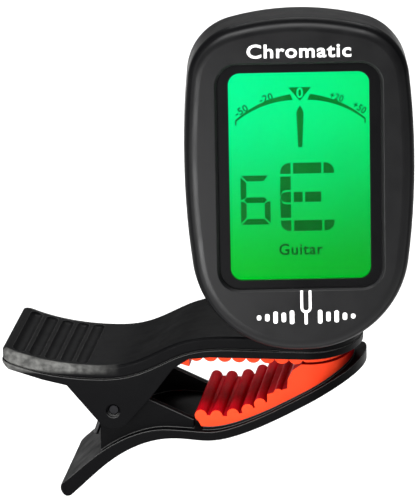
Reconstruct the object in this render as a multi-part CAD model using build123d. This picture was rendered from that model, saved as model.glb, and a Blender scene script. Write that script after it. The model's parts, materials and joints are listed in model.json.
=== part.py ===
from build123d import *
import os
from math import radians, sin

# Clip-on tuner, in millimetres.
# +Z is up, +X runs along the clip towards its nose and the screen looks towards -Y.
# The origin is the middle of the padded jaw gap.
# The tuner head is drawn in its own frame, whose origin is the tilt axis, with x across
# the screen, y from the screen towards the back and z up the head.

# ---- clip arms ----
ARM_HALF_WIDTH = 11.0
PLATE_THICKNESS = 2.0
RIBBON_THICKNESS, TAB_EXTRA_THICKNESS = 1.5, 1.0
SKIRT_THICKNESS, SKIRT_LEDGE = 1.3, 0.15
GROOVE_HEIGHT = 0.35
GROOVE_DEPTH = 0.45
HINGE_X, HINGE_Z = -23.2, -5.4
HINGE_PIN_RADIUS = 0.95
HINGE_RECESS_RADIUS = 1.2
HINGE_RECESS_DEPTH = 0.55
CHEEK_RADIUS = 3.2
WALL_BOSS_RADIUS = 2.5
WALL_OUTER, WALL_INNER = 9.5, 8.2
RUNNING_CLEARANCE = 0.06
UPPER_TAIL_X, UPPER_NOSE_X = -42.0, 17.6
LOWER_TAIL_X, LOWER_NOSE_X = -32.95, 18.3
NOSE_CENTRE_X = 9.3
TAIL_CORNER_RADIUS = 1.6
PLATE_EDGE_RADIUS = 0.5
FLUTE_COUNT, FLUTE_PITCH, FLUTE_FIRST_X = 5, 2.6, -39.0
FLUTE_RADIUS, FLUTE_DEPTH, FLUTE_HALF_LENGTH = 1.6, 0.36, 8.8

# ---- rubber pads ----
PAD_HALF_WIDTH = 9.8
PAD_SEAT_HEIGHT = 0.6
UPPER_PAD_HALF_WIDTH = 9.55
UPPER_PAD_TOP, UPPER_PAD_BOTTOM, UPPER_TOOTH_TIP = 5.0, 4.2, 3.4
UPPER_NOSE_BAND = 3.8
HUMP_TOP = 3.5

# ---- swivel yoke and tilt joint ----
SWIVEL_X = 6.9
SEAT_TOP = 8.5
SWIVEL_GAP = 0.1
YOKE_DISC_RADIUS, YOKE_DISC_HEIGHT = 6.4, 1.8
SPIGOT_RADIUS = 2.0
TILT_Z = 14.6
EAR_RADIUS, EAR_INNER, EAR_OUTER = 3.1, 3.4, 5.4
KNUCKLE_RADIUS, KNUCKLE_HALF_WIDTH = 2.9, 3.0
TILT_PIN_RADIUS = 1.0
HEAD_YAW, HEAD_TILT = 8.7, 5.0

# ---- tuner head, in the head frame ----
HEAD_TOP, HEAD_BOTTOM = 48.75, -6.75
HEAD_HALF_WIDTH = 18.75
FRONT_Y, BACK_Y = -20.4, -7.4
PARTING_Y = -12.9
SHELL_WALL = 1.4
BACK_WALL = 1.3
BACK_EDGE_RADIUS = 2.8
SCREEN_WIDTH, SCREEN_HEIGHT, SCREEN_Z = 22.9, 34.5, 22.55
SCREEN_CORNER = 1.9
RECESS_WIDTH, RECESS_HEIGHT, RECESS_DEPTH = 26.6, 37.4, 0.8
RING_FLOOR = 1.0
RECESS_CORNER, RECESS_BEVEL = 3.4, 0.4
BATTERY_Z = 24.0
COIN_RADIUS, COIN_THICKNESS = 10.0, 3.2
COVER_RADIUS, COVER_GAP = 11.9, 0.1
COVER_TAB_REACH, COVER_TAB_ANGLE = 12.7, 14.0
COVER_TURN = 40.0
BUTTON_Z, BUTTON_RADIUS, BUTTON_TRAVEL = 41.0, 2.7, 0.4
BUTTON_FOOT_Y = BACK_Y - 1.9
SCREW_PLACES = ((-11.2, 43.5), (11.2, 43.5), (-7.0, -1.4), (7.0, -1.4))
SCREW_POST_RADIUS, BACK_POST_RADIUS = 2.0, 2.6
BOARD_SCREW_PLACES = ((-6.8, 43.0), (6.8, 43.0))
PCB_FRONT_Y, PCB_THICKNESS = FRONT_Y + 6.3, 1.0
PCB_BACK_Y = PCB_FRONT_Y + PCB_THICKNESS

# The lower face of the upper plate and of the lower ribbon, from tail to nose.
PLATE_LINE = [
    (-42.5, 3.4), (-37.5, 1.7), (-32.8, 0.8), (-26.5, 0.4), (-20.9, 0.95),
    (-16.0, 2.85), (-11.5, 5.05), (-6.5, 6.2), (0.0, 6.4), (9.0, 6.4), (18.5, 6.4),
]
RIBBON_LINE = [
    (-31.5, -21.5), (-27.3, -17.5), (-23.6, -14.2), (-20.0, -11.9), (-16.4, -10.5),
    (-12.0, -10.0), (-7.0, -10.2), (-1.5, -8.8), (7.0, -4.6), (19.0, 1.4),
]
HEAD_PLACE = Pos(SWIVEL_X, 0, TILT_Z) * Rot(0, 0, HEAD_YAW) * Rot(-HEAD_TILT, 0, 0)
YOKE_PLACE = Pos(SWIVEL_X, 0, 0) * Rot(0, 0, HEAD_YAW)


def slab(sketch, y0, y1):
    """Solid of an x-z outline between two y values."""
    return extrude(Plane.XZ.offset(-y1) * sketch, amount=y1 - y0)


def column(sketch, z0, z1):
    """Solid of an x-y outline between two heights."""
    return extrude(Pos(0, 0, z0) * sketch, amount=z1 - z0)


def rod(radius, start, end):
    """Straight round bar between two points."""
    axis = Vector(*end) - Vector(*start)
    return extrude(Plane(origin=start, z_dir=axis) * Circle(radius), amount=axis.length)


def rounded_box(width, height, corner, z_centre):
    """Rounded rectangle centred on the head's middle line."""
    return Pos(0, z_centre) * RectangleRounded(width, height, corner)


def shifted(points, rise):
    return [(x, z + rise) for x, z in points]


def strip(points, thickness, tail_extra=0.0):
    """Bent strip over a line of points, thicker towards its tail if asked."""
    lower = Spline(*points)
    steps = 2 * len(points)
    over = []
    for step in range(steps + 1):
        part = step / steps
        place, along = lower @ part, lower % part
        rise = thickness + tail_extra * max(0.0, 1 - part / 0.4) ** 0.7
        over.append((place.X - along.Y * rise, place.Y + along.X * rise))
    upper = Spline(*over)
    ends = [Line(lower @ 0, upper @ 0), Line(lower @ 1, upper @ 1)]
    return make_face([lower, upper, *ends])


def area_between(points, level):
    """Area between a curved line and a level far above or below it."""
    line = Spline(*points)
    first, last = line @ 0, line @ 1
    rest = Polyline(last, (last.X, level), (first.X, level), first)
    return make_face([line, rest])


def group(place, shapes):
    """Several equal solids kept as one node."""
    return Compound([place * shape.solid() for shape in shapes])


def plan(tail_x, nose_x, half_width, centre_x=NOSE_CENTRE_X, corner=TAIL_CORNER_RADIUS):
    """Arm or pad seen from above: square tail with round corners and a half-round nose."""
    length = centre_x - tail_x
    body = Pos((tail_x + centre_x) / 2, 0) * Rectangle(length, 2 * half_width)
    outline = body + Pos(centre_x, 0) * Ellipse(nose_x - centre_x, half_width)
    if corner:
        outline = fillet(outline.vertices().group_by(Axis.X)[0], corner)
    return outline


def arm_plan(tail_x, nose_x, inset=0.0):
    """Outline of an arm seen from above, set in evenly."""
    corner = max(TAIL_CORNER_RADIUS - inset, 0.4)
    return plan(tail_x + inset, nose_x - inset, ARM_HALF_WIDTH - inset, corner=corner)


def hinge_hole(radius):
    return slab(Pos(HINGE_X, HINGE_Z) * Circle(radius), -15, 15)


# ---------------------------------------------------------------- clip

def skirt_area(rise):
    """Side view of the skirt and its cheek; rise moves only the top line."""
    below_plate = area_between(shifted(PLATE_LINE, rise), -30)
    band = Polygon(
        (-43, 3.3), (-40.9, 1.5), (-35.2, -0.2), (-31.0, -1.1), (-22, -1.1), (-12.9, 2.5),
        (-10.2, 4.3), (-6.7, 4.7), (19, 4.9), (19, 20), (-43, 20), align=None)
    cheek = Polygon(
        (-31.0, -1.1), (-25.66, -7.47), (-20.77, -7.48), (-17.1, -3.2), (-12.9, 2.5),
        (-18, 12), (-31.0, 12), align=None)
    pivot = Pos(HINGE_X, HINGE_Z) * Circle(CHEEK_RADIUS)
    return below_plate & (band + cheek + pivot)


def make_upper_arm():
    outline = arm_plan(UPPER_TAIL_X, UPPER_NOSE_X)
    plate = slab(strip(PLATE_LINE, PLATE_THICKNESS), -15, 15) & column(outline, -30, 30)
    broad_faces = plate.faces().sort_by(SortBy.AREA)[-2:].sort_by(Axis.Z)
    plate = fillet(broad_faces[1].edges(), PLATE_EDGE_RADIUS)
    hollow = arm_plan(UPPER_TAIL_X, UPPER_NOSE_X, SKIRT_THICKNESS)
    skirt_outline = arm_plan(UPPER_TAIL_X, UPPER_NOSE_X, -SKIRT_LEDGE)
    skirt = column(skirt_outline - hollow, -30, 30)
    skirt &= slab(skirt_area(-GROOVE_HEIGHT), -15, 15)
    neck = column(arm_plan(UPPER_TAIL_X, UPPER_NOSE_X, GROOVE_DEPTH) - hollow, -30, 30)
    neck &= slab(skirt_area(0.4), -15, 15)
    arm = plate + skirt + neck
    closed_groove = skirt_area(0.4) & Pos(55, 0) * Rectangle(100, 60)
    arm += column(outline - hollow, -30, 30) & slab(closed_groove, -15, 15)
    for x, length in ((-5.5, 19.0), (13.8, 13.6)):
        arm += Pos(x, 0, 5.8) * Box(1.2, length, 1.6)
    arm += column(Pos(SWIVEL_X, 0) * Circle(YOKE_DISC_RADIUS + 0.5), 7.2, SEAT_TOP)
    arm -= column(Pos(SWIVEL_X, 0) * Circle(SPIGOT_RADIUS + RUNNING_CLEARANCE), 5, 9)
    arm -= hinge_hole(HINGE_PIN_RADIUS)
    for side in (-1, 1):
        recess_depth = 2 * HINGE_RECESS_DEPTH
        recess = slab(Pos(HINGE_X, HINGE_Z) * Circle(HINGE_RECESS_RADIUS), 0, recess_depth)
        arm -= Pos(0, side * ARM_HALF_WIDTH - recess_depth / 2, 0) * recess
    return arm - make_flutes()


def make_flutes():
    """Scooped finger grips across the thumb tab."""
    long_edges = strip(PLATE_LINE, PLATE_THICKNESS).edges().sort_by(SortBy.LENGTH)[-2:]
    top = long_edges.sort_by(Axis.Y)[-1]
    tools = []
    for i in range(FLUTE_COUNT):
        x = FLUTE_FIRST_X + i * FLUTE_PITCH
        point = min((top @ (k / 300) for k in range(301)), key=lambda p: abs(p.X - x))
        z = point.Y + FLUTE_RADIUS - FLUTE_DEPTH
        bar = rod(FLUTE_RADIUS, (x, -FLUTE_HALF_LENGTH, z), (x, FLUTE_HALF_LENGTH, z))
        for end in (-FLUTE_HALF_LENGTH, FLUTE_HALF_LENGTH):
            bar += Pos(x, end, z) * Sphere(FLUTE_RADIUS)
        tools.append(bar)
    return tools


def make_lower_arm():
    outline = arm_plan(LOWER_TAIL_X, LOWER_NOSE_X)
    ribbon = strip(RIBBON_LINE, RIBBON_THICKNESS, TAB_EXTRA_THICKNESS)
    ribbon = fillet(ribbon.vertices().sort_by(Axis.X)[:2], 1.1)
    arm = slab(ribbon, -15, 15) & column(outline, -30, 30)
    above_ribbon = area_between(shifted(RIBBON_LINE, RIBBON_THICKNESS / 2), 12)
    lip = Polygon((8, -6), (19, 0), (19, 3.5), (15.9, 1.8), (13.2, 0.4), (8.0, -2.6), align=None)
    lip_ring = column(outline - arm_plan(LOWER_TAIL_X, LOWER_NOSE_X, 1.9), -30, 30)
    arm += lip_ring & slab(lip & above_ribbon, -15, 15)
    seat_top = area_between(shifted(RIBBON_LINE, RIBBON_THICKNESS + PAD_SEAT_HEIGHT), -30)
    seat = column(pad_plan(-8.2), -30, 30) & slab(seat_top & above_ribbon, -15, 15)
    arm += seat
    wall = Polygon(
        (-25.7, -20), (-9.8, -20), (-9.8, -7.1), (-19.2, -2.9), (-23.2, -2.9),
        (-25.7, HINGE_Z), align=None)
    wall += Pos(HINGE_X, HINGE_Z) * Circle(WALL_BOSS_RADIUS)
    wall &= above_ribbon
    for side in (-1, 1):
        low, high = sorted((side * WALL_INNER, side * WALL_OUTER))
        arm += slab(wall, low, high)
    return arm - hinge_hole(HINGE_PIN_RADIUS + RUNNING_CLEARANCE)


def pad_plan(tail_x=-9.6):
    return plan(tail_x, 16.2, PAD_HALF_WIDTH, corner=0)


def make_lower_pad():
    """Ribbed grip with a tall hump under the nose."""
    over_seat = area_between(shifted(RIBBON_LINE, RIBBON_THICKNESS + PAD_SEAT_HEIGHT + 0.02), 12)
    side = Polygon(
        (-6.4, -12), (17, -12), (17, HUMP_TOP), (8.5, HUMP_TOP), (7.0, 2.4), (6.2, 0.8),
        (6.1, -0.8), (2.7, -2.0), (2.7, -3.4), (-1.5, -5.45), (-4.2, -6.15), (-9.6, -6.05),
        align=None)
    teeth = ((-8.55, -6.2), (-5.9, -6.2), (-3.1, -5.8), (-0.6, -4.9), (1.5, -3.8))
    for x, z in teeth:
        side += Pos(x, z) * Circle(1.03)
    side += Pos(4.6, -1.75) * Circle(0.8)
    return column(pad_plan(), -30, 30) & slab(side & over_seat, -15, 15)


def make_upper_pad():
    """Thin scalloped grip held inside the skirt of the upper arm."""
    side = Polygon(
        (-10.4, UPPER_PAD_TOP), (-12.3, 2.95), (-10.4, 2.4), (-10.4, UPPER_PAD_BOTTOM),
        (8.5, UPPER_PAD_BOTTOM), (9.2, UPPER_NOSE_BAND), (18, UPPER_NOSE_BAND),
        (18, UPPER_PAD_TOP), align=None)
    for i in range(8):
        tooth = Pos(-9.2 + 2.4 * i, UPPER_TOOTH_TIP + 1.3) * Circle(1.3)
        side += tooth & (Pos(0, 3) * Rectangle(60, 4))
    outline = plan(-12.4, 15.9, UPPER_PAD_HALF_WIDTH, corner=0)
    return column(outline, -30, 30) & slab(side, -15, 15)


def make_hinge_pin():
    half = ARM_HALF_WIDTH - HINGE_RECESS_DEPTH + 0.1
    pin = rod(HINGE_PIN_RADIUS, (HINGE_X, -half, HINGE_Z), (HINGE_X, half, HINGE_Z))
    return chamfer(pin.edges().filter_by(GeomType.CIRCLE), 0.2)


def make_torsion_spring():
    """Coil round the hinge pin, with a leg against each thumb tab."""
    coil = slab(Pos(HINGE_X, HINGE_Z) * (Circle(2.6) - Circle(1.7)), -3.4, 3.4)
    upper_leg = rod(0.45, (-24.5, -2.75, -3.4), (-34.5, -2.75, 0.55))
    lower_leg = rod(0.45, (-25.3, 2.75, -5.2), (-28.6, 2.75, -14.7))
    return coil + upper_leg + lower_leg


# ---------------------------------------------------------------- swivel and tilt

def make_swivel_yoke():
    base = SEAT_TOP + SWIVEL_GAP
    disc = column(Circle(YOKE_DISC_RADIUS), base, base + YOKE_DISC_HEIGHT)
    disc = fillet(disc.edges().sort_by(Axis.Z)[-1], 0.5)
    ear = Pos(0, TILT_Z) * Circle(EAR_RADIUS)
    ear += Pos(0, (TILT_Z + base + 1) / 2) * Rectangle(2 * EAR_RADIUS, TILT_Z - base - 1)
    yoke = disc + column(Circle(SPIGOT_RADIUS), 6.45, base)
    for side in (-1, 1):
        middle = side * (EAR_INNER + EAR_OUTER) / 2
        plate = extrude(Plane.YZ * ear, amount=(EAR_OUTER - EAR_INNER) / 2, both=True)
        yoke += Pos(middle, 0, 0) * plate
    yoke -= rod(TILT_PIN_RADIUS, (-9, 0, TILT_Z), (9, 0, TILT_Z))
    yoke -= column(Circle(0.9), 6, base + 1.2)
    return YOKE_PLACE * yoke


def make_swivel_screw():
    head = fillet(column(Circle(2.9), 5.15, 6.1).edges().sort_by(Axis.Z)[0], 0.3)
    screw = head + column(Circle(0.9), 6.0, SEAT_TOP + 1.0)
    screw -= Pos(0, 0, 5.35) * Box(2.6, 0.5, 0.5)
    screw -= Pos(0, 0, 5.35) * Box(0.5, 2.6, 0.5)
    return YOKE_PLACE * screw


def make_wave_washer():
    return YOKE_PLACE * column(Circle(3.3) - Circle(2.1), 6.12, 6.34)


def make_tilt_screw():
    shank = rod(TILT_PIN_RADIUS, (-EAR_OUTER, 0, TILT_Z), (EAR_OUTER + 1.5, 0, TILT_Z))
    head = rod(2.0, (-EAR_OUTER - 1.1, 0, TILT_Z), (-EAR_OUTER, 0, TILT_Z))
    head = fillet(head.edges().sort_by(Axis.X)[0], 0.4)
    slot = Pos(-EAR_OUTER - 1.1, 0, TILT_Z) * Box(0.9, 0.55, 5)
    return YOKE_PLACE * (shank + head - slot)


def make_tilt_nut():
    nut = RegularPolygon(2.3, 6) - Circle(TILT_PIN_RADIUS)
    return YOKE_PLACE * Pos(EAR_OUTER, 0, TILT_Z) * extrude(Plane.YZ * nut, amount=1.2)


def make_friction_washers():
    ring = Circle(2.6) - Circle(TILT_PIN_RADIUS + 0.1)
    washer = extrude(Plane.YZ * ring, amount=0.13, both=True)
    middle = (KNUCKLE_HALF_WIDTH + EAR_INNER) / 2
    return group(YOKE_PLACE, [Pos(side * middle, 0, TILT_Z) * washer for side in (-1, 1)])


# ---------------------------------------------------------------- head

def head_outline(inset=0.0):
    """Rounded shield: four wide arcs joined by rounded corners, all set in evenly."""
    top_radius, bottom_radius, side_radius = 43.0, 36.0, 130.0
    widest_z = 25.0
    outline = Pos(0, HEAD_TOP - top_radius) * Circle(top_radius - inset)
    outline &= Pos(0, HEAD_BOTTOM + bottom_radius) * Circle(bottom_radius - inset)
    for side in (-1, 1):
        centre = Pos(side * (HEAD_HALF_WIDTH - side_radius), widest_z)
        outline &= centre * Circle(side_radius - inset)
    outline = fillet(outline.vertices().sort_by(Axis.Y)[2:], 9.5 - inset)
    return fillet(outline.vertices().sort_by(Axis.Y)[:2], 17.0 - inset)


def screw_posts(radius, y0, y1):
    return [slab(Pos(x, z) * Circle(radius), y0, y1) for x, z in SCREW_PLACES]


def make_front_shell():
    """Bezel shell: rounded rim, flat face, stepped screen opening and screw posts."""
    shell = slab(head_outline(), FRONT_Y, PARTING_Y)
    shell = fillet(shell.faces().sort_by(Axis.Y)[0].edges(), 2.1)
    shell -= slab(head_outline(SHELL_WALL), FRONT_Y + RECESS_DEPTH + RING_FLOOR, PARTING_Y)
    recess = rounded_box(RECESS_WIDTH, RECESS_HEIGHT, RECESS_CORNER, SCREEN_Z)
    recess_cut = slab(recess, FRONT_Y - 1, FRONT_Y + RECESS_DEPTH)
    shell -= recess_cut
    face_edges = shell.faces().sort_by(Axis.Y)[0].inner_wires()[0].edges()
    shell = chamfer(face_edges, RECESS_BEVEL)
    opening = rounded_box(SCREEN_WIDTH, SCREEN_HEIGHT, SCREEN_CORNER, SCREEN_Z)
    shell -= slab(opening, FRONT_Y, FRONT_Y + 4)
    for post in screw_posts(SCREW_POST_RADIUS, FRONT_Y + 1.5, PARTING_Y):
        shell += post
    for bore in screw_posts(0.85, FRONT_Y + 3.2, PARTING_Y):
        shell -= bore
    return HEAD_PLACE * shell


def cover_notches(radius, y0, y1):
    """Three sectors round the battery opening, where the cover's tabs pass through."""
    notches = []
    for third in range(3):
        turn = third * 120 + COVER_TURN + 90
        wedge = Pos(radius - 1, 0) * Rectangle(2, 2 * radius * sin(radians(COVER_TAB_ANGLE)))
        notches.append(slab(Pos(0, BATTERY_Z) * Rot(0, 0, turn) * wedge, y0, y1))
    return notches


def make_rear_shell():
    """Back shell with the knuckle, the battery opening and the button opening."""
    outer = slab(head_outline(), PARTING_Y, BACK_Y)
    outer = fillet(outer.faces().sort_by(Axis.Y)[-1].edges(), BACK_EDGE_RADIUS)
    inside = slab(head_outline(SHELL_WALL), PARTING_Y, BACK_Y - BACK_WALL)
    inside = fillet(inside.faces().sort_by(Axis.Y)[-1].edges(), BACK_EDGE_RADIUS - BACK_WALL)
    shell = outer - inside
    for post in screw_posts(BACK_POST_RADIUS, PARTING_Y, BACK_Y - BACK_WALL + 0.1):
        shell += post
    for bore in screw_posts(1.1, PARTING_Y, BACK_Y):
        shell -= bore
    for sink in screw_posts(1.8, BACK_Y - 2.4, BACK_Y + 1):
        shell -= sink
    hole = Pos(0, BATTERY_Z) * Circle(COVER_RADIUS + COVER_GAP)
    shell -= slab(hole, BACK_Y - 3, BACK_Y + 1)
    for notch in cover_notches(COVER_TAB_REACH + 0.3, BACK_Y - 3, BACK_Y + 1):
        shell -= notch
    shell -= slab(Pos(0, BUTTON_Z) * Circle(BUTTON_RADIUS + 0.1), BACK_Y - 3, BACK_Y + 1)
    knuckle = Circle(KNUCKLE_RADIUS) + Pos(-4.2, 0) * Rectangle(8.4, 2 * KNUCKLE_RADIUS)
    lug = extrude(Plane.YZ * knuckle, amount=KNUCKLE_HALF_WIDTH, both=True)
    root = slab(Pos(0, 0) * RectangleRounded(9.4, 8.6, 2.0), BACK_Y - 0.8, BACK_Y + 0.9)
    shell += lug + root
    shell -= rod(TILT_PIN_RADIUS + RUNNING_CLEARANCE, (-9, 0, 0), (9, 0, 0))
    return HEAD_PLACE * shell


def make_battery_cover():
    """Twist-lock disc with a coin slot and three locking tabs."""
    disc = slab(Pos(0, BATTERY_Z) * Circle(COVER_RADIUS), BACK_Y - BACK_WALL, BACK_Y)
    disc = fillet(disc.faces().sort_by(Axis.Y)[-1].edges(), 0.35)
    collar = Pos(0, BATTERY_Z) * (Circle(11.7) - Circle(10.4))
    disc += slab(collar, BACK_Y - 2.25, BACK_Y - BACK_WALL)
    reach = COVER_TAB_REACH
    tab_width = 2 * (reach - 0.6) * sin(radians(COVER_TAB_ANGLE))
    for third in range(3):
        tab = Pos(reach - 0.9, 0) * Rectangle(1.8, tab_width)
        tab = Pos(0, BATTERY_Z) * Rot(0, 0, third * 120 + 90) * tab
        tab &= Pos(0, BATTERY_Z) * Circle(reach)
        disc += slab(tab, BACK_Y - 2.25, BACK_Y - BACK_WALL - 0.25)
    slot = Pos(0, BATTERY_Z) * SlotOverall(14, 1.9)
    return HEAD_PLACE * (disc - slab(slot, BACK_Y - 0.7, BACK_Y + 1))


def make_mode_button():
    cap = slab(Pos(0, BUTTON_Z) * Circle(BUTTON_RADIUS), BUTTON_FOOT_Y, BACK_Y + 0.5)
    cap = fillet(cap.faces().sort_by(Axis.Y)[-1].edges(), 0.4)
    flange = slab(Pos(0, BUTTON_Z) * Circle(3.3), BUTTON_FOOT_Y, BACK_Y - BACK_WALL - 0.05)
    dish = Pos(0, BACK_Y + 8.3, BUTTON_Z) * Sphere(8.0)
    return HEAD_PLACE * (cap + flange - dish)


def make_lens_window():
    """Clear stepped window: its raised part fills the screen opening."""
    floor = FRONT_Y + RECESS_DEPTH
    raised = rounded_box(SCREEN_WIDTH - 0.1, SCREEN_HEIGHT - 0.1, SCREEN_CORNER - 0.05, SCREEN_Z)
    lens = slab(raised, floor + 0.1, floor + RING_FLOOR)
    flange = rounded_box(SCREEN_WIDTH + 2.2, SCREEN_HEIGHT + 2.2, 2.4, SCREEN_Z)
    lens += slab(flange, floor + RING_FLOOR, floor + RING_FLOOR + 0.5)
    return HEAD_PLACE * lens


def make_lcd_panel():
    """Two sheets of glass, the front one shorter so that its contacts show."""
    front = FRONT_Y + 2.4
    panel = slab(rounded_box(26.2, 36.4, 0.3, SCREEN_Z + 0.6), front, front + 0.8)
    panel += slab(rounded_box(26.2, 38.4, 0.3, SCREEN_Z - 0.4), front + 0.8, front + 1.6)
    return HEAD_PLACE * panel


def make_lcd_frame():
    """Open plastic frame that squares the glass over the light guide."""
    outer = rounded_box(28.6, 41.0, 1.0, SCREEN_Z - 0.4) & head_outline(SHELL_WALL + 0.3)
    inner = rounded_box(26.4, 38.6, 0.4, SCREEN_Z - 0.4)
    frame = slab(outer - inner, FRONT_Y + 2.4, PCB_FRONT_Y)
    ledge = inner - rounded_box(24.8, 35.4, 0.4, SCREEN_Z + 0.6)
    window = rounded_box(23.0, 2.6, 0.3, SCREEN_Z - 18.3)
    frame += slab(ledge - window, FRONT_Y + 5.7, PCB_FRONT_Y)
    for x, z in BOARD_SCREW_PLACES:
        frame += slab(Pos(x, z) * Circle(1.7) - inner, FRONT_Y + 3.4, PCB_FRONT_Y)
        frame -= slab(Pos(x, z) * Circle(0.75), PCB_FRONT_Y - 1.4, PCB_FRONT_Y)
    for clearance in screw_posts(SCREW_POST_RADIUS + 0.15, FRONT_Y, PCB_FRONT_Y):
        frame -= clearance
    return HEAD_PLACE * frame


def make_light_guide():
    guide = slab(rounded_box(26.0, 35.6, 0.5, SCREEN_Z + 0.9), FRONT_Y + 4.1, FRONT_Y + 5.6)
    return HEAD_PLACE * guide


def make_backlight_leds():
    led = Box(2.2, 0.6, 1.2)
    return group(HEAD_PLACE, [Pos(x, PCB_FRONT_Y - 0.3, 7.0) * led for x in (-7.5, 0, 7.5)])


def make_zebra_strips():
    """Conductive rubber strip between the glass edge and the board."""
    strip_box = Box(22.4, PCB_FRONT_Y - FRONT_Y - 4.0 - 0.04, 1.3)
    middle_y = (FRONT_Y + 4.0 + PCB_FRONT_Y) / 2
    return HEAD_PLACE * Pos(0, middle_y, 3.75) * strip_box


def make_main_pcb():
    board = rounded_box(31.6, 46.0, 3.0, 21.4) & head_outline(SHELL_WALL + 0.3)
    for x, z in SCREW_PLACES:
        board -= Pos(x, z) * Circle(SCREW_POST_RADIUS + 0.2)
    for x, z in BOARD_SCREW_PLACES:
        board -= Pos(x, z) * Circle(0.8)
    return HEAD_PLACE * slab(board, PCB_FRONT_Y, PCB_BACK_Y)


def on_board(x, z, width, height, rise):
    return Pos(x, PCB_BACK_Y + rise / 2, z) * Box(width, rise, height)


def make_controller_chip():
    chip = on_board(0, 7.6, 7.0, 7.0, 0.9)
    edges = chip.faces().sort_by(Axis.Y)[-1].edges()
    chip = chamfer(edges, 0.25)
    for side in (-1, 1):
        for row in range(7):
            lead = 0.95 * (row - 3)
            chip += on_board(side * 4.1, 7.6 + lead, 1.4, 0.4, 0.2)
            chip += on_board(lead, 7.6 + side * 4.1, 0.4, 1.4, 0.2)
    return HEAD_PLACE * chip


def make_crystal():
    can = on_board(9.2, 4.8, 2.4, 5.4, 1.1)
    return HEAD_PLACE * fillet(can.edges().filter_by(Axis.Y), 1.0)


def make_smd_parts():
    """Resistors and capacitors on the back of the board."""
    places = [(-9.6, 4.4 + 1.5 * i) for i in range(5)]
    places += [(x, 8.0 + 1.6 * i) for x in (-13.4, 13.4) for i in range(4)]
    places += [(-6.5, 38.4 + 1.6 * i) for i in range(2)]
    return group(HEAD_PLACE, [on_board(x, z, 1.6, 0.8, 0.6) for x, z in places])


def make_tact_switch():
    body = on_board(0, BUTTON_Z, 5.0, 3.2, 1.5)
    top = BUTTON_FOOT_Y - BUTTON_TRAVEL - 0.05
    plunger = slab(Pos(0, BUTTON_Z) * Circle(1.1), PCB_BACK_Y + 1.4, top)
    return HEAD_PLACE * (body + plunger)


def make_coin_holder():
    """Open ring on the board that keeps the cell in place."""
    ring = Circle(11.1) - Circle(COIN_RADIUS + 0.25)
    ring -= Pos(0, 10.5) * Rectangle(6.4, 4)
    holder = slab(Pos(0, BATTERY_Z) * ring, PCB_BACK_Y, PCB_BACK_Y + 2.3)
    return HEAD_PLACE * holder


def coin_back_y():
    return BACK_Y - BACK_WALL - 0.15


def make_coin_cell():
    back = coin_back_y()
    can = slab(Pos(0, BATTERY_Z) * Circle(COIN_RADIUS), back - COIN_THICKNESS + 0.3, back)
    can = fillet(can.faces().sort_by(Axis.Y)[-1].edges(), 0.4)
    cap = slab(Pos(0, BATTERY_Z) * Circle(8.6), back - COIN_THICKNESS, back - COIN_THICKNESS + 0.3)
    return HEAD_PLACE * (can + cap)


def make_contact_negative():
    """Springy strip under the cell, soldered at one end."""
    gap = coin_back_y() - COIN_THICKNESS - PCB_BACK_Y
    foot = on_board(0, BATTERY_Z - 7.4, 3.4, 3.4, 0.2)
    leaf = on_board(0, BATTERY_Z + 0.4, 3.0, 13.0, 0.2)
    leaf = Pos(0, gap - 0.22, 0) * leaf
    riser = on_board(0, BATTERY_Z - 6.0, 3.0, 0.2, gap - 0.02)
    return HEAD_PLACE * (foot + riser + leaf)


def make_contact_positive():
    """Bent tongue that presses on the rim of the cell."""
    rim = BATTERY_Z + COIN_RADIUS + 0.02
    base = on_board(0, rim + 1.0, 5.0, 2.0, 0.25)
    blade = Pos(0, PCB_BACK_Y + 1.1, rim + 0.125) * Box(5.0, 2.2, 0.25)
    return HEAD_PLACE * (base + blade)


def make_piezo_disc():
    """Brass disc with its ceramic layer, stuck inside the back shell near the knuckle."""
    back = BACK_Y - BACK_WALL
    disc = slab(Pos(0, 4.6) * Circle(5.4), back - 0.22, back)
    disc += slab(Pos(0, 4.6) * Circle(3.9), back - 0.42, back - 0.22)
    return HEAD_PLACE * disc


def make_piezo_leads():
    places = ((-4.7, 2.6), (4.7, 2.6))
    start, end = PCB_BACK_Y, BACK_Y - BACK_WALL - 0.22
    return group(HEAD_PLACE, [slab(Pos(x, z) * Circle(0.3), start, end) for x, z in places])


def make_shell_screws():
    screws = []
    for x, z in SCREW_PLACES:
        shank = slab(Pos(x, z) * Circle(0.85), FRONT_Y + 3.6, BACK_Y - 2.4)
        head = slab(Pos(x, z) * Circle(1.65), BACK_Y - 2.4, BACK_Y - 1.5)
        head = fillet(head.faces().sort_by(Axis.Y)[-1].edges(), 0.3)
        cross = Pos(x, z) * (Rectangle(1.9, 0.4) + Rectangle(0.4, 1.9))
        screws.append(shank + head - slab(cross, BACK_Y - 1.9, BACK_Y))
    return group(HEAD_PLACE, screws)


def make_pcb_screws():
    screws = []
    for x, z in BOARD_SCREW_PLACES:
        place = Pos(x, z)
        shank = slab(place * Circle(0.75), PCB_FRONT_Y - 1.2, PCB_BACK_Y)
        head = slab(place * Circle(1.5), PCB_BACK_Y, PCB_BACK_Y + 0.7)
        cross = place * (Rectangle(1.7, 0.35) + Rectangle(0.35, 1.7))
        screws.append(shank + head - slab(cross, PCB_BACK_Y + 0.4, PCB_BACK_Y + 1))
    return group(HEAD_PLACE, screws)


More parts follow.
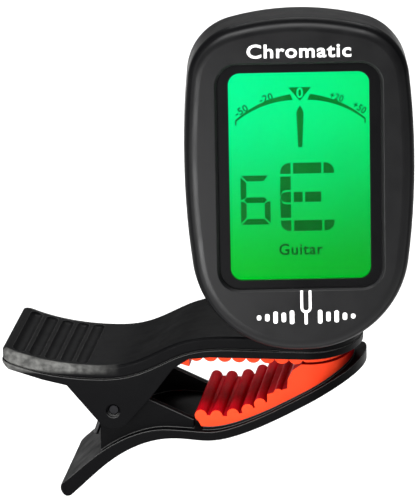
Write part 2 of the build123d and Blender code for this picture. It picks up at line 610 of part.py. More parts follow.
NODES = {
    "upper_arm": make_upper_arm,
    "upper_pad": make_upper_pad,
    "hinge_pin": make_hinge_pin,
    "torsion_spring": make_torsion_spring,
    "lower_arm": make_lower_arm,
    "lower_pad": make_lower_pad,
    "swivel_yoke": make_swivel_yoke,
    "swivel_screw": make_swivel_screw,
    "wave_washer": make_wave_washer,
    "tilt_screw": make_tilt_screw,
    "tilt_nut": make_tilt_nut,
    "friction_washers": make_friction_washers,
    "front_shell": make_front_shell,
    "rear_shell": make_rear_shell,
    "battery_cover": make_battery_cover,
    "mode_button": make_mode_button,
    "lens_window": make_lens_window,
    "lcd_panel": make_lcd_panel,
    "lcd_frame": make_lcd_frame,
    "light_guide": make_light_guide,
    "backlight_leds": make_backlight_leds,
    "zebra_strip": make_zebra_strips,
    "main_pcb": make_main_pcb,
    "controller_chip": make_controller_chip,
    "crystal": make_crystal,
    "smd_parts": make_smd_parts,
    "tact_switch": make_tact_switch,
    "coin_holder": make_coin_holder,
    "coin_cell": make_coin_cell,
    "contact_negative": make_contact_negative,
    "contact_positive": make_contact_positive,
    "piezo_disc": make_piezo_disc,
    "piezo_leads": make_piezo_leads,
    "shell_screws": make_shell_screws,
    "pcb_screws": make_pcb_screws,
}

os.makedirs("parts", exist_ok=True)
for node, make in NODES.items():
    shape = make()
    shape.label = node
    export_step(shape, f"parts/{node}.step")
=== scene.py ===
import json
import math

import bmesh
import bpy
from mathutils import Matrix, Vector


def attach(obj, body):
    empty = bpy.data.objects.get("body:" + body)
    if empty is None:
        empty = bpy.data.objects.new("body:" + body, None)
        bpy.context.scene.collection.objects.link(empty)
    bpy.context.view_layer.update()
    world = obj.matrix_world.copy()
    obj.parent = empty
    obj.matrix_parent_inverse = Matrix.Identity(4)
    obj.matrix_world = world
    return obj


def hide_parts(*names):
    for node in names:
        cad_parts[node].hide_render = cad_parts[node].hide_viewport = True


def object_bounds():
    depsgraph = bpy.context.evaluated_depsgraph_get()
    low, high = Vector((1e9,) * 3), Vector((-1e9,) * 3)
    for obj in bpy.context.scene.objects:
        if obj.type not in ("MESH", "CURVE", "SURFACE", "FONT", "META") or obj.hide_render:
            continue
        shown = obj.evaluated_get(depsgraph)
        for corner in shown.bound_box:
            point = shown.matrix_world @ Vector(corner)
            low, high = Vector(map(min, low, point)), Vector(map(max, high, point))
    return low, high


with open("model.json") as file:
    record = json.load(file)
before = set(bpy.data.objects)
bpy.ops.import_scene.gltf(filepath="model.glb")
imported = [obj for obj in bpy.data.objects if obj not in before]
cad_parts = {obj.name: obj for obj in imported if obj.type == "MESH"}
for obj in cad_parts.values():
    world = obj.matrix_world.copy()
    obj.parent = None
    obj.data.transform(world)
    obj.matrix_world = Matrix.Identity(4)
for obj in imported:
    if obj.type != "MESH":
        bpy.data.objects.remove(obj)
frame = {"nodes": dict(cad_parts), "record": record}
cad_low, cad_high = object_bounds()

MM = 0.001

# The head's own frame: x across the screen, y towards its back, z up the head, in millimetres.
HEAD_YAW, HEAD_TILT = math.radians(8.7), math.radians(5.0)
HEAD_ORIGIN = Vector((6.9, 0.0, 14.6)) * MM
FACE_Y, GLASS_Y = -20.4, -18.0
STEP_Y = FACE_Y + 0.45
SCREEN_HALF_WIDTH, SCREEN_BOTTOM, SCREEN_TOP = 11.45, 5.3, 39.8

# Flat print: the y of its front and back, and how far it is lowered, in the head's frame.
FACE_PRINT = (FACE_Y - 0.04, FACE_Y + 0.05, 0.0)
SCREEN_INK = (GLASS_Y - 0.07, GLASS_Y - 0.03, 0.4)
ZERO_INK = (GLASS_Y - 0.09, GLASS_Y - 0.075, 0.4)
DIAL_CENTRE, DIAL_RADIUS = (0.25, 19.6), 16.3

HINGE = Vector((-23.2, 0.0, -5.4))
ARM_HALF_WIDTH = 11.0
# The tuner is shown held in the air, as it is when it grips a headstock.
FLOOR_DROP = 0.1

CAMERA_DISTANCE = 800
CAMERA_SHIFT_RIGHT, CAMERA_SHIFT_UP = -6.667, 22.833
GRAIN_DEPTH = 0.03 * MM


def head_place():
    turn = Matrix.Rotation(HEAD_YAW, 4, "Z") @ Matrix.Rotation(-HEAD_TILT, 4, "X")
    return Matrix.Translation(HEAD_ORIGIN) @ turn @ Matrix.Scale(MM, 4)


# ---------------------------------------------------------------- camera and lights

def make_camera():
    """Long lens a little right of the front and above, with a slight roll."""
    azimuth, elevation, roll = math.radians(8.3), math.radians(18.5), math.radians(1.0)
    back = Vector((
        math.sin(azimuth) * math.cos(elevation),
        -math.cos(azimuth) * math.cos(elevation),
        math.sin(elevation)))
    right = Vector((math.cos(azimuth), math.sin(azimuth), 0))
    up = back.cross(right)
    camera_x = right * math.cos(roll) - up * math.sin(roll)
    camera_y = up * math.cos(roll) + right * math.sin(roll)
    target = Vector((0, -ARM_HALF_WIDTH, 0))
    shift = CAMERA_SHIFT_RIGHT * camera_x + CAMERA_SHIFT_UP * camera_y
    place = (target + CAMERA_DISTANCE * back + shift) * MM
    data = bpy.data.cameras.new("camera")
    data.sensor_fit = "HORIZONTAL"
    data.sensor_width = 36
    data.lens = 411.4
    data.clip_start, data.clip_end = 0.01, 20
    camera = bpy.data.objects.new("camera", data)
    axes = Matrix((camera_x, camera_y, back)).transposed().to_4x4()
    camera.matrix_world = Matrix.Translation(place) @ axes
    bpy.context.scene.collection.objects.link(camera)
    bpy.context.scene.camera = camera


def make_light(name, place, target, width, height, power):
    data = bpy.data.lights.new(name, "AREA")
    data.shape = "RECTANGLE"
    data.size, data.size_y = width, height
    data.energy = power
    light = bpy.data.objects.new(name, data)
    light.location = place
    light.rotation_euler = (Vector(target) - Vector(place)).to_track_quat("-Z", "Y").to_euler()
    bpy.context.scene.collection.objects.link(light)


def make_lights():
    """Soft light from the front and above, and a small card that lights the left of the case."""
    middle = (0, 0, 0.02)
    make_light("main_softbox", (0.0, -0.5, 0.85), middle, 1.0, 0.45, 17)
    make_light("back_softbox", (0.0, 0.9, 0.9), (0, 0.5, -0.12), 0.9, 0.6, 9)
    make_light("left_softbox", (-0.8, -0.3, 0.35), middle, 0.3, 0.8, 2.5)
    make_light("near_left_card", (-0.045, -0.17, 0.005), (0, -0.02, 0.03), 0.09, 0.06, 0.35)
    world = bpy.data.worlds.new("studio")
    world.use_nodes = True
    background = world.node_tree.nodes["Background"]
    background.inputs["Color"].default_value = (1, 1, 1, 1)
    background.inputs["Strength"].default_value = 0.24
    bpy.context.scene.world = world
    bpy.context.scene.view_settings.view_transform = "Standard"


# ---------------------------------------------------------------- materials

def new_material(name):
    material = bpy.data.materials.new(name)
    material.use_nodes = True
    return material, material.node_tree, material.node_tree.nodes["Principled BSDF"]


def add_node(tree, kind, **values):
    node = tree.nodes.new(kind)
    for socket, value in values.items():
        node.inputs[socket].default_value = value
    return node


def object_position(tree):
    return tree.nodes.new("ShaderNodeTexCoord").outputs["Object"]


def parts_of(tree, vector):
    """The X, Y and Z of a vector."""
    node = tree.nodes.new("ShaderNodeSeparateXYZ")
    tree.links.new(vector, node.inputs[0])
    return node.outputs


def ramp(tree, value, low, high, at_low=0.0, at_high=1.0):
    """Value mapped evenly between two limits, and held beyond them."""
    node = add_node(tree, "ShaderNodeMapRange", **{
        "From Min": low, "From Max": high, "To Min": at_low, "To Max": at_high})
    tree.links.new(value, node.inputs["Value"])
    return node.outputs["Result"]


def calculate(tree, operation, *values):
    node = tree.nodes.new("ShaderNodeMath")
    node.operation = operation
    for socket, value in zip(node.inputs, values):
        tree.links.new(value, socket)
    return node.outputs[0]


def object_noise(tree, scale, detail=3.0, stretch=(1, 1, 1)):
    """Noise that stays with the piece; scale is in cells per metre."""
    mapping = add_node(tree, "ShaderNodeMapping", Scale=stretch)
    noise = add_node(tree, "ShaderNodeTexNoise", Scale=scale, Detail=detail)
    tree.links.new(object_position(tree), mapping.inputs["Vector"])
    tree.links.new(mapping.outputs["Vector"], noise.inputs["Vector"])
    return noise.outputs["Fac"]


def vary(tree, factor, socket, low, high):
    """Number that follows a noise between two limits."""
    tree.links.new(ramp(tree, factor, 0.3, 0.7, low, high), socket)


def blend_colours(tree, factor, first, second):
    mix = tree.nodes.new("ShaderNodeMix")
    mix.data_type = "RGBA"
    tree.links.new(factor, mix.inputs["Factor"])
    for socket, colour in ((mix.inputs[6], first), (mix.inputs[7], second)):
        if isinstance(colour, tuple):
            socket.default_value = (*colour, 1)
        else:
            tree.links.new(colour, socket)
    return mix.outputs[2]


def bevelled_normal(tree, radius):
    bevel = add_node(tree, "ShaderNodeBevel", Radius=radius)
    bevel.samples = 6
    return bevel.outputs["Normal"]


def rough_surface(tree, shader, height, strength, distance, edge=0.0):
    """Bump from a noise, over edges softened by a small radius."""
    bump = add_node(tree, "ShaderNodeBump", Strength=strength, Distance=distance)
    tree.links.new(height, bump.inputs["Height"])
    if edge:
        tree.links.new(bevelled_normal(tree, edge), bump.inputs["Normal"])
    tree.links.new(bump.outputs["Normal"], shader.inputs["Normal"])


def painted_edge_highlight_mask(tree, radius):
    """Mask of the upward-facing edges where a highlight is painted, from how far a bevel turns the
    normal there.
    """
    geometry = tree.nodes.new("ShaderNodeNewGeometry")
    softened = bevelled_normal(tree, radius)
    likeness = tree.nodes.new("ShaderNodeVectorMath")
    likeness.operation = "DOT_PRODUCT"
    tree.links.new(geometry.outputs["True Normal"], likeness.inputs[0])
    tree.links.new(softened, likeness.inputs[1])
    turned = ramp(tree, likeness.outputs["Value"], 0.97, 0.85)
    upwards = ramp(tree, parts_of(tree, softened)["Z"], 0.25, 0.55)
    return calculate(tree, "MULTIPLY", turned, upwards)


def moulded(name, dark, light, roughness, edge=0.12 * MM):
    """Injection-moulded plastic with a spark-eroded grain and faint handling marks."""
    material, tree, shader = new_material(name)
    colour = blend_colours(tree, object_noise(tree, 90.0, 4.0), dark, light)
    tree.links.new(colour, shader.inputs["Base Color"])
    marks = object_noise(tree, 260.0, 5.0)
    vary(tree, marks, shader.inputs["Roughness"], roughness - 0.06, roughness + 0.06)
    rough_surface(tree, shader, object_noise(tree, 7000.0, 2.0), 0.25, GRAIN_DEPTH, edge)
    return material


def tab_edge_wear(tree):
    """Patchy mask along both sides of the upper thumb tab."""
    place = parts_of(tree, object_position(tree))
    sideways = calculate(tree, "ABSOLUTE", place["Y"])
    near_side = ramp(tree, sideways, (ARM_HALF_WIDTH - 0.9) * MM, (ARM_HALF_WIDTH - 0.4) * MM)
    on_tab = ramp(tree, place["X"], -22 * MM, -30 * MM)
    above_hinge = ramp(tree, place["Z"], 0.8 * MM, 1.6 * MM)
    patches = ramp(tree, object_noise(tree, 900.0, 5.0), 0.35, 0.7, 0.35, 1.0)
    wear = calculate(tree, "MULTIPLY", near_side, on_tab)
    wear = calculate(tree, "MULTIPLY", wear, above_hinge)
    return calculate(tree, "MULTIPLY", wear, patches)


def clip_plastic_wear_and_painted_highlights():
    """Black clip plastic, rubbed grey along the thumb tab, with painted highlights along its upper
    edges.
    """
    material, tree, shader = new_material("clip_plastic")
    edge = 0.25 * MM
    cloud = object_noise(tree, 90.0, 4.0)
    clean = blend_colours(tree, cloud, (0.0008, 0.0008, 0.001), (0.0016, 0.0016, 0.0019))
    worn = blend_colours(tree, tab_edge_wear(tree), clean, (0.11, 0.11, 0.105))
    # Painted highlight: the base colour is lightened to grey along upward edges, standing in for
    # light caught by rounded edges.
    painted_highlight_colour = blend_colours(tree, painted_edge_highlight_mask(tree, edge), worn, (0.1, 0.1, 0.098))
    tree.links.new(painted_highlight_colour, shader.inputs["Base Color"])
    vary(tree, object_noise(tree, 300.0, 5.0), shader.inputs["Roughness"], 0.36, 0.5)
    shader.inputs["Specular IOR Level"].default_value = 0.03
    rough_surface(tree, shader, object_noise(tree, 5200.0, 2.0), 0.25, GRAIN_DEPTH, edge)
    return material


def case_plastic():
    """Satin black case, duller on the step round the window than on its face or its back."""
    material = moulded(
        "case_plastic", (0.0012, 0.0012, 0.0015), (0.0025, 0.0025, 0.0028), 0.38, edge=0.2 * MM)
    tree = material.node_tree
    depth = head_coordinates(tree)["Y"]
    face = ramp(tree, depth, (STEP_Y - 0.1) * MM, (STEP_Y + 0.1) * MM, 0.18, 0.05)
    back = ramp(tree, depth, (GLASS_Y - 0.2) * MM, GLASS_Y * MM, 0.0, 0.05)
    gloss = calculate(tree, "ADD", face, back)
    tree.links.new(gloss, tree.nodes["Principled BSDF"].inputs["Specular IOR Level"])
    return material


def grip_rubber():
    """Soft rubber that lets some light through, with painted light and shade: lit orange on faces
    turned sideways, shaded dark red on the other faces, as across the grip's ridges.
    """
    material, tree, shader = new_material("grip_rubber")
    normal = tree.nodes.new("ShaderNodeNewGeometry").outputs["Normal"]
    sideways = calculate(tree, "ABSOLUTE", parts_of(tree, normal)["Y"])
    cloud = object_noise(tree, 220.0, 3.0)
    # Painted shade and painted light: a darker red copy of the rubber colour where the face turns up,
    # and a lit orange copy (ends) where it turns sideways.
    painted_shade_ribs = blend_colours(tree, cloud, (0.5, 0.0006, 0.008), (0.38, 0.0006, 0.006))
    ends = blend_colours(tree, cloud, (0.8, 0.056, 0.018), (0.72, 0.042, 0.012))
    colour = blend_colours(tree, ramp(tree, sideways, 0.15, 0.6), painted_shade_ribs, ends)
    tree.links.new(colour, shader.inputs["Base Color"])
    vary(tree, object_noise(tree, 500.0, 4.0), shader.inputs["Roughness"], 0.34, 0.48)
    shader.inputs["Specular IOR Level"].default_value = 0.02
    shader.inputs["Subsurface Weight"].default_value = 0.15
    shader.inputs["Subsurface Radius"].default_value = (1.0, 0.18, 0.08)
    shader.inputs["Subsurface Scale"].default_value = 2.2 * MM
    rough_surface(tree, shader, object_noise(tree, 3800.0, 2.0), 0.2, 0.04 * MM, 0.2 * MM)
    return material


def brushed_metal(name, colour, roughness, stretch=(1, 1, 12)):
    material, tree, shader = new_material(name)
    streaks = object_noise(tree, 2600.0, 3.0, stretch)
    darker = tuple(0.8 * part for part in colour)
    tree.links.new(blend_colours(tree, streaks, darker, colour), shader.inputs["Base Color"])
    shader.inputs["Metallic"].default_value = 1.0
    vary(tree, streaks, shader.inputs["Roughness"], roughness - 0.06, roughness + 0.08)
    rough_surface(tree, shader, streaks, 0.15, 0.02 * MM, 0.1 * MM)
    return material


def clear_window():
    """Clear acrylic with a trace of fingerprints."""
    material, tree, shader = new_material("lens")
    tint = blend_colours(tree, object_noise(tree, 150.0), (0.97, 1.0, 0.98), (1.0, 1.0, 1.0))
    tree.links.new(tint, shader.inputs["Base Color"])
    shader.inputs["Transmission Weight"].default_value = 1.0
    shader.inputs["IOR"].default_value = 1.1
    vary(tree, object_noise(tree, 320.0, 5.0), shader.inputs["Roughness"], 0.0, 0.006)
    return material


def head_coordinates(tree):
    """Position in the head's own frame, in metres."""
    mapping = tree.nodes.new("ShaderNodeMapping")
    mapping.vector_type = "TEXTURE"
    mapping.inputs["Location"].default_value = HEAD_ORIGIN
    mapping.inputs["Rotation"].default_value = (-HEAD_TILT, 0, HEAD_YAW)
    tree.links.new(object_position(tree), mapping.inputs["Vector"])
    return parts_of(tree, mapping.outputs["Vector"])


def screen_colour(tree, left_top, right_top, left_bottom, right_bottom):
    """Backlight colour, even across and falling off down the screen."""
    place = head_coordinates(tree)
    across = ramp(tree, place["X"], -SCREEN_HALF_WIDTH * MM, SCREEN_HALF_WIDTH * MM)
    upwards = ramp(tree, place["Z"], SCREEN_BOTTOM * MM, SCREEN_TOP * MM)
    upwards.node.interpolation_type = "SMOOTHSTEP"
    top = blend_colours(tree, across, left_top, right_top)
    bottom = blend_colours(tree, across, left_bottom, right_bottom)
    return blend_colours(tree, upwards, bottom, top)


def dark_glass(name):
    """Start of a screen material: nearly black, so that only its own light shows."""
    material, tree, shader = new_material(name)
    shader.inputs["Base Color"].default_value = (0.0, 0.01, 0.002, 1)
    shader.inputs["Specular IOR Level"].default_value = 0.05
    return material, tree, shader


def lit_screen():
    """Green backlight behind liquid crystal, a little uneven."""
    material, tree, shader = dark_glass("screen")
    glow = screen_colour(
        tree, (0.0, 0.98, 0.33), (0.0, 0.86, 0.20), (0.0, 0.52, 0.02), (0.0, 0.40, 0.015))
    tree.links.new(glow, shader.inputs["Emission Color"])
    vary(tree, object_noise(tree, 70.0), shader.inputs["Emission Strength"], 0.97, 1.03)
    vary(tree, object_noise(tree, 400.0), shader.inputs["Roughness"], 0.2, 0.26)
    return material


def screen_ink(name, share):
    """Switched-on segments: a share of the backlight shows through them."""
    material, tree, shader = dark_glass(name)
    corners = ((0.0, 0.95, 0.10), (0.0, 0.90, 0.07), (0.0, 0.52, 0.02), (0.0, 0.42, 0.02))
    shades = [tuple(share * part for part in colour) for colour in corners]
    tree.links.new(screen_colour(tree, *shades), shader.inputs["Emission Color"])
    vary(tree, object_noise(tree, 300.0), shader.inputs["Emission Strength"], 0.85, 1.1)
    shader.inputs["Roughness"].default_value = 0.3
    return material


def printed_ink():
    """White pad-printed ink, slightly thin in places."""
    material, tree, shader = new_material("print_white")
    thin = object_noise(tree, 1800.0, 4.0)
    colour = blend_colours(tree, thin, (0.74, 0.74, 0.73), (0.9, 0.9, 0.89))
    tree.links.new(colour, shader.inputs["Base Color"])
    vary(tree, object_noise(tree, 900.0), shader.inputs["Roughness"], 0.45, 0.6)
    return material


def circuit_board():
    """Green solder mask over raised copper tracks."""
    material, tree, shader = new_material("board")
    tracks = add_node(tree, "ShaderNodeTexBrick", Scale=380.0, **{"Mortar Size": 0.06})
    tree.links.new(object_position(tree), tracks.inputs["Vector"])
    colour = blend_colours(tree, tracks.outputs["Fac"], (0.012, 0.11, 0.035), (0.03, 0.2, 0.06))
    tree.links.new(colour, shader.inputs["Base Color"])
    vary(tree, object_noise(tree, 500.0), shader.inputs["Roughness"], 0.3, 0.42)
    rough_surface(tree, shader, tracks.outputs["Fac"], 0.4, 0.04 * MM)
    return material


def floor_material():
    material, tree, shader = new_material("studio_floor")
    colour = blend_colours(tree, object_noise(tree, 3.0), (0.93, 0.93, 0.93), (0.95, 0.95, 0.95))
    tree.links.new(colour, shader.inputs["Base Color"])
    shader.inputs["Roughness"].default_value = 0.9
    shader.inputs["Specular IOR Level"].default_value = 0.0
    return material


def all_finishes():
    """One material for every slot of the record."""
    return {
        "clip_plastic": clip_plastic_wear_and_painted_highlights(),
        "grip_rubber": grip_rubber(),
        "pin_steel": brushed_metal("pin_steel", (0.012, 0.012, 0.013), 0.42),
        "spring_steel": brushed_metal("spring_steel", (0.06, 0.06, 0.062), 0.34),
        "yoke_plastic": moulded("yoke_plastic", (0.012, 0.012, 0.013), (0.018, 0.018, 0.019), 0.4),
        "screw_steel": brushed_metal("screw_steel", (0.36, 0.36, 0.37), 0.34),
        "washer_nylon": moulded("washer_nylon", (0.6, 0.59, 0.55), (0.7, 0.69, 0.65), 0.45),
        "case_plastic": case_plastic(),
        "button_rubber": moulded("button_rubber", (0.03, 0.03, 0.032), (0.04, 0.04, 0.042), 0.6),
        "lens": clear_window(),
        "screen": lit_screen(),
        "white_plastic": moulded("white_plastic", (0.7, 0.7, 0.68), (0.78, 0.78, 0.76), 0.5),
        "diffuser": moulded("diffuser", (0.6, 0.8, 0.65), (0.68, 0.86, 0.72), 0.3),
        "led": moulded("led", (0.7, 0.85, 0.5), (0.8, 0.95, 0.6), 0.25),
        "conductive_rubber": moulded(
            "conductive_rubber", (0.5, 0.14, 0.2), (0.62, 0.2, 0.26), 0.6),
        "board": circuit_board(),
        "component_black": moulded(
            "component_black", (0.012, 0.012, 0.012), (0.02, 0.02, 0.02), 0.45),
        "component_metal": brushed_metal("component_metal", (0.6, 0.6, 0.6), 0.3),
        "component_light": moulded("component_light", (0.28, 0.2, 0.12), (0.36, 0.27, 0.17), 0.5),
        "cell_steel": brushed_metal("cell_steel", (0.62, 0.62, 0.61), 0.26),
        "piezo_brass": brushed_metal("piezo_brass", (0.7, 0.5, 0.2), 0.32),
        "lead_wire": moulded("lead_wire", (0.45, 0.01, 0.01), (0.55, 0.02, 0.02), 0.45),
    }


def dress_frame(finishes):
    """Gives every CAD node the material of its slot."""
    for part in frame["record"]["subparts"]:
        mesh = frame["nodes"][part["node"]].data
        mesh.materials.clear()
        mesh.materials.append(finishes[part["material_slot"]])


# ---------------------------------------------------------------- pieces

def add_piece(name, build, material, body):
    """Piece from mesh code; build fills a bmesh in metres."""
    shape = bmesh.new()
    build(shape)
    mesh = bpy.data.meshes.new(name)
    shape.to_mesh(mesh)
    shape.free()
    piece = bpy.data.objects.new(name, mesh)
    bpy.context.scene.collection.objects.link(piece)
    mesh.materials.append(material)
    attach(piece, body)
    return piece


def turns_left(outline):
    area = 0.0
    for i in range(len(outline)):
        (x0, z0), (x1, z1) = outline[i - 1], outline[i]
        area += x0 * z1 - x1 * z0
    return area > 0


def add_prism(shape, outline, layer):
    """Thin plate on the head from an x-z outline."""
    front_y, back_y, drop = layer
    place = head_place() @ Matrix.Translation((0, 0, -drop))
    if not turns_left(outline):
        outline = outline[::-1]
    front = [shape.verts.new(place @ Vector((x, front_y, z))) for x, z in outline]
    back = [shape.verts.new(place @ Vector((x, back_y, z))) for x, z in outline]
    shape.faces.new(front)
    shape.faces.new(list(reversed(back)))
    for i in range(len(outline)):
        j = (i + 1) % len(outline)
        shape.faces.new((front[j], front[i], back[i], back[j]))


def add_text(shape, words, centre, layer, width, height, turn=0.0, weight=0.0):
    """Words in the plain built-in font, fitted to a width and a height."""
    front_y, back_y, drop = layer
    curve = bpy.data.curves.new("words", "FONT")
    curve.body = words
    curve.offset = weight
    curve.space_character = 1.0 + 5 * weight
    curve.extrude = 0.5
    curve.resolution_u = 4
    holder = bpy.data.objects.new("words", curve)
    mesh = bpy.data.meshes.new_from_object(holder)
    low_x, high_x = min(v.co.x for v in mesh.vertices), max(v.co.x for v in mesh.vertices)
    low_y, high_y = min(v.co.y for v in mesh.vertices), max(v.co.y for v in mesh.vertices)
    middle = Matrix.Translation((-(low_x + high_x) / 2, -(low_y + high_y) / 2, 0))
    flat = Matrix.Diagonal((width / (high_x - low_x), height / (high_y - low_y), back_y - front_y, 1))
    upright = Matrix.Rotation(math.radians(90), 4, "X")
    turned = Matrix.Rotation(math.radians(-turn), 4, "Y")
    spot = Matrix.Translation((centre[0], (front_y + back_y) / 2, centre[1] - drop))
    mesh.transform(head_place() @ spot @ turned @ upright @ flat @ middle)
    shape.from_mesh(mesh)
    bpy.data.objects.remove(holder)
    bpy.data.curves.remove(curve)
    bpy.data.meshes.remove(mesh)


def rounded(corners, radii, steps=6):
    """Polygon with some corners rounded; a radius of zero keeps the corner."""
    outline = []
    count = len(corners)
    for i, (corner, radius) in enumerate(zip(corners, radii)):
        if not radius:
            outline.append(corner)
            continue
        here = Vector(corner)
        before = (Vector(corners[i - 1]) - here).normalized() * radius
        after = (Vector(corners[(i + 1) % count]) - here).normalized() * radius
        centre = here + before + after
        for k in range(steps + 1):
            angle = math.pi / 2 * k / steps
            point = centre - after * math.cos(angle) - before * math.sin(angle)
            outline.append((point.x, point.y))
    return outline


def box_outline(x0, z0, x1, z1, radii=(0, 0, 0, 0)):
    """Rectangle from its lower left corner, counter-clockwise, with its corner radii."""
    return rounded([(x0, z0), (x1, z0), (x1, z1), (x0, z1)], radii)


def build_note(shape):
    """Segmented letter E."""
    left, column_right, right = -3.15, -1.45, 5.65
    bottom, middle, top = 13.5, 19.2, 24.9
    bar, gap, corner = 1.8, 0.45, 1.5
    for outline in (
        box_outline(left, top - bar, column_right, top, (0, 0, 0, corner)),
        box_outline(-1.05, top - bar, 3.55, top),
        box_outline(3.9, top - bar, right, top, (0, 0, corner, 0)),
        box_outline(left, bottom, column_right, bottom + bar, (corner, 0, 0, 0)),
        box_outline(-1.0, bottom, 3.6, bottom + bar),
        box_outline(3.95, bottom, right, bottom + bar, (0, corner, 0, 0)),
        box_outline(-1.0, middle - 0.85, 0.45, middle + 0.85),
        box_outline(0.85, middle - 0.85, 3.5, middle + 0.85),
    ):
        add_prism(shape, outline, SCREEN_INK)
    nib_x, nib, clear = -2.1, 0.88, 1.2
    turns = [math.pi * (0.5 + k / 12) for k in range(13)]
    nose = [(nib_x + 1.05 * math.cos(a), middle + nib * math.sin(a)) for a in turns]
    nose = [(column_right, middle + nib), *nose, (column_right, middle - nib)]
    add_prism(shape, nose, SCREEN_INK)
    over = [(nib_x + 1.3 * math.cos(a), middle + clear * math.sin(a)) for a in turns[:6]]
    column_top = top - bar - gap
    column = [
        (left, column_top), (left, over[-1][1]), *reversed(over), (column_right, over[0][1]),
        (column_right, column_top)]
    add_prism(shape, column, SCREEN_INK)
    add_prism(shape, [(x, 2 * middle - z) for x, z in column], SCREEN_INK)


def build_string_number(shape):
    """Seven-segment figure 6, with every bar but the upper right one."""
    left, right, top, middle, bottom = -9.65, -4.8, 22.9, 18.8, 14.7
    wide, gap = 0.95, 0.12
    half = wide / 2
    for outline in (
        [(left + gap, top), (left + wide + gap, top - wide), (right - 1.1, top - wide),
         (right - 0.35, top)],
        [(left + gap, bottom), (right - gap, bottom), (right - wide - gap, bottom + wide),
         (left + wide + gap, bottom + wide)],
        [(left, top - gap * 2), (left, middle + gap), (left + 0.3, middle + gap),
         (left + wide, middle + half), (left + wide, top - wide - gap * 2)],
        [(left, middle - gap * 2), (left, bottom + gap * 2),
         (left + wide, bottom + wide + gap * 2), (left + wide, middle - half - gap),
         (left + 0.4, middle - gap * 2)],
        [(right, middle - gap * 2), (right - 0.4, middle - gap * 2),
         (right - wide, middle - half - gap), (right - wide, bottom + wide + gap * 2),
         (right, bottom + gap * 2)],
        [(left + 0.55, middle), (left + 0.55 + half, middle - half),
         (right - 0.55 - half, middle - half), (right - 0.55, middle),
         (right - 0.55 - half, middle + half), (left + 0.55 + half, middle + half)],
    ):
        add_prism(shape, outline, SCREEN_INK)


def build_needle(shape):
    """Needle and the triangle that marks the middle of the dial."""
    needle = [
        (-0.16, 27.5), (0.52, 27.5), (0.8, 33.2), (0.62, 33.75), (0.2, 34.45), (-0.22, 33.75),
        (-0.4, 33.2)]
    add_prism(shape, needle, SCREEN_INK)
    add_prism(shape, [(-1.65, 37.45), (0.2, 35.2), (2.05, 37.45)], SCREEN_INK)


def dial_point(angle, offset):
    radius = DIAL_RADIUS + offset
    centre_x, centre_z = DIAL_CENTRE
    return (centre_x + radius * math.sin(angle), centre_z + radius * math.cos(angle))


def build_dial(shape):
    """Curved scale in two halves that thin towards their outer ends, where a tick hangs."""
    inner, outer, slant, steps = 0.095, 0.70, 0.02, 20
    shares = [k / steps for k in range(steps + 1)]
    angles = [inner + (outer - inner) * share for share in shares]
    halves = [0.5 - 0.36 * share ** 0.8 for share in shares]
    lower_angles = [inner - slant, *angles[1:]]
    for side in (-1, 1):
        above = [dial_point(side * angle, half) for angle, half in zip(angles, halves)]
        below = [dial_point(side * angle, -half) for angle, half in zip(lower_angles, halves)]
        add_prism(shape, above + below[::-1], SCREEN_INK)
        x, z = dial_point(side * outer, 0)
        add_prism(shape, box_outline(x - 0.12, z - 0.75, x + 0.12, z + 0.1), SCREEN_INK)


def build_dial_labels(shape):
    for words, centre, turn in (
        ("-50", (-9.35, 33.75), 30), ("-20", (-5.3, 35.75), 17),
        ("+20", (6.2, 35.75), -20), ("+50", (9.9, 33.9), -34),
    ):
        add_text(shape, words, centre, SCREEN_INK, 2.25, 1.2, turn=turn, weight=0.02)
    add_text(shape, "Guitar", (0.1, 10.45), SCREEN_INK, 7.2, 1.95, weight=0.018)


def build_zero(shape):
    add_text(shape, "0", (0.2, 36.55), ZERO_INK, 1.1, 1.75, weight=0.02)


def build_title(shape):
    add_text(shape, "Chromatic", (0.1, 43.5), FACE_PRINT, 16.9, 2.3, weight=0.02)


def build_emblem(shape):
    """Tuning fork between two rows of level bars."""
    centre_x, prong, gap = 0.7, 0.42, 0.95
    top, stem_top, foot = 3.6, 0.7, -2.1
    inside, outside = gap / 2, gap / 2 + prong
    turns = [math.pi * k / 12 for k in range(13)]
    bowl = [(centre_x - outside * math.cos(a), stem_top - outside * math.sin(a)) for a in turns]
    hollow = [(centre_x + inside * math.cos(a), stem_top - inside * math.sin(a)) for a in turns]
    fork = [
        (centre_x - outside, top), *bowl, (centre_x + outside, top),
        (centre_x + inside, top), *hollow, (centre_x - inside, top)]
    add_prism(shape, fork, FACE_PRINT)
    stem = box_outline(centre_x - 0.25, foot, centre_x + 0.25, stem_top - 0.75, (0.2, 0.2, 0, 0))
    add_prism(shape, stem, FACE_PRINT)
    bars_z, bar_half, bar_pitch = -0.85, 0.36, 1.35
    for side in (-1, 1):
        for k, tall in enumerate((2.3, 1.6, 2.0, 1.2, 0.8)):
            x = centre_x + side * (2.3 + bar_pitch * k)
            bar = box_outline(
                x - bar_half, bars_z - tall / 2, x + bar_half, bars_z + tall / 2, (0.3,) * 4)
            add_prism(shape, bar, FACE_PRINT)


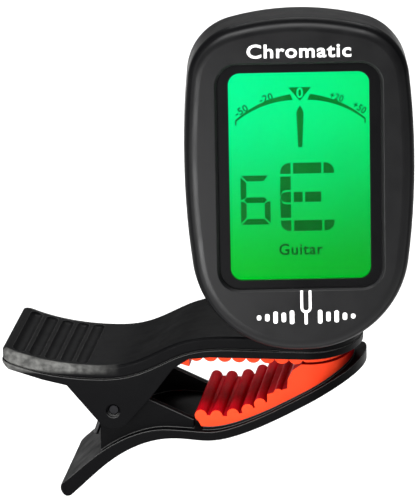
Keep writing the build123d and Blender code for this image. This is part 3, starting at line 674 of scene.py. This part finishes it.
def tube_piece(name, points, radius, material, body):
    """Round wire along a smooth line of points in millimetres."""
    curve = bpy.data.curves.new(name + "_line", "CURVE")
    curve.dimensions = "3D"
    curve.bevel_depth = radius * MM
    curve.bevel_resolution = 4
    curve.use_fill_caps = True
    curve.resolution_u = 4
    line = curve.splines.new("NURBS")
    line.points.add(len(points) - 1)
    for spot, point in zip(line.points, points):
        spot.co = (*(Vector(point) * MM), 1)
    line.order_u = 4
    line.use_endpoint_u = True
    holder = bpy.data.objects.new(name + "_line", curve)
    mesh = bpy.data.meshes.new_from_object(holder)
    bpy.data.objects.remove(holder)
    mesh.name = name
    mesh.materials.append(material)
    piece = bpy.data.objects.new(name, mesh)
    bpy.context.scene.collection.objects.link(piece)
    for face in mesh.polygons:
        face.use_smooth = True
    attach(piece, body)
    return piece


def make_spring(finishes):
    """Torsion spring of round wire: five turns and two straight legs."""
    wire, coil_radius, coil_half_length = 0.45, 2.15, 2.6
    turns, per_turn, start = 5.25, 16, math.radians(120)
    steel = finishes["spring_steel"]
    coil = [(-34.5, -2.75, 0.35), (-30.0, -2.75, -1.4), (-25.2, -2.75, -3.3)]
    count = int(turns * per_turn)
    for k in range(count + 1):
        angle = start + 2 * math.pi * k / per_turn
        x = HINGE.x + coil_radius * math.cos(angle)
        z = HINGE.z + coil_radius * math.sin(angle)
        coil.append((x, coil_half_length * (2 * k / count - 1), z))
    upper = tube_piece("spring_coil", coil, wire, steel, "clip_upper")
    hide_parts("torsion_spring")
    leg = [(-25.3, 2.75, -5.2), (-26.4, 2.75, -8.4), (-27.5, 2.75, -11.5), (-28.6, 2.75, -14.7)]
    tube_piece("spring_lower_leg", leg, wire, steel, "clip_lower")


def make_floor():
    shape = bmesh.new()
    bmesh.ops.create_grid(shape, x_segments=2, y_segments=2, size=6.0)
    mesh = bpy.data.meshes.new("floor")
    shape.to_mesh(mesh)
    shape.free()
    mesh.materials.append(floor_material())
    floor = bpy.data.objects.new("floor", mesh)
    floor.location = (0, 0, cad_low.z - FLOOR_DROP)
    bpy.context.scene.collection.objects.link(floor)


make_camera()
make_lights()
FINISHES = all_finishes()
dress_frame(FINISHES)
strong_ink = screen_ink("screen_ink", 0.22)
thin_ink = screen_ink("screen_thin_ink", 0.15)
white_ink = printed_ink()
add_piece("lcd_note_letter", build_note, strong_ink, "head")
add_piece("lcd_string_number", build_string_number, strong_ink, "head")
add_piece("lcd_needle", build_needle, strong_ink, "head")
add_piece("lcd_dial_scale", build_dial, strong_ink, "head")
add_piece("lcd_dial_labels", build_dial_labels, thin_ink, "head")
add_piece("lcd_dial_zero", build_zero, FINISHES["screen"], "head")
add_piece("face_title_print", build_title, white_ink, "head")
add_piece("face_fork_print", build_emblem, white_ink, "head")
make_spring(FINISHES)
make_floor()
